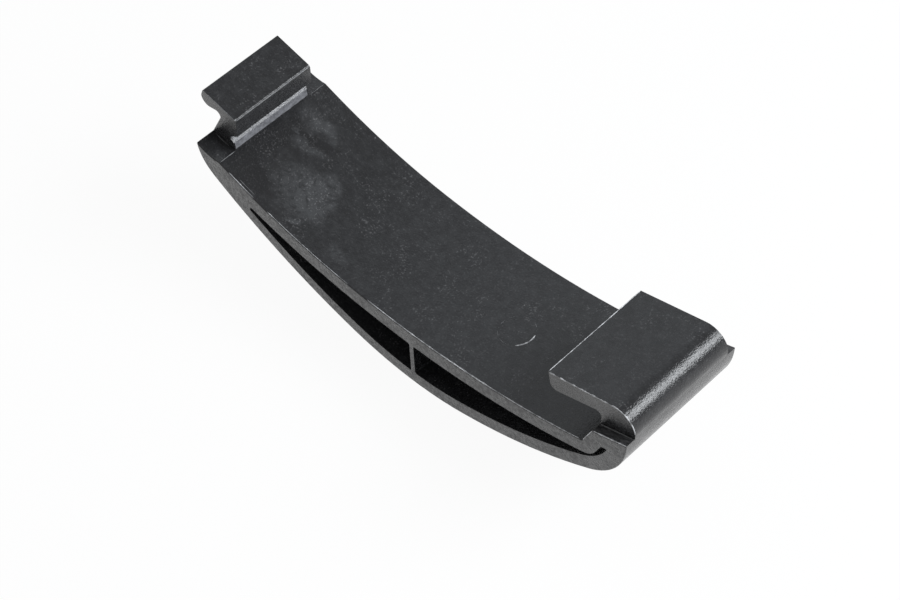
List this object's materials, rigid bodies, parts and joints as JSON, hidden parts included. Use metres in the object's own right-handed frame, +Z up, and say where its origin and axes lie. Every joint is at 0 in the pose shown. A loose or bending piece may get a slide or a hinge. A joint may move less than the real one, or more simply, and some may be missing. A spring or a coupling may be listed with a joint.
{
  "type": "chain tensioner shoe",
  "caption": "Bowed moulded plastic shoe with a hollow back, a curled slit and hooks that slide onto a bowed steel bracket, for a chain to rub on.",
  "frame": {"origin": "the lowest point of the convex face, in the middle of the width, where the shoe touches the flat surface that it lies on", "axes": "+X along the shoe towards the larger hook, +Y across its width, +Z up"},
  "size_m": [0.1322, 0.033, 0.0471],
  "materials": {
    "tensioner_shoe": "black moulded nylon with a fine grain and a low sheen"
  },
  "bodies": {
    "root": {"tensioner_shoe": "tensioner_shoe"}
  },
  "joints": []
}
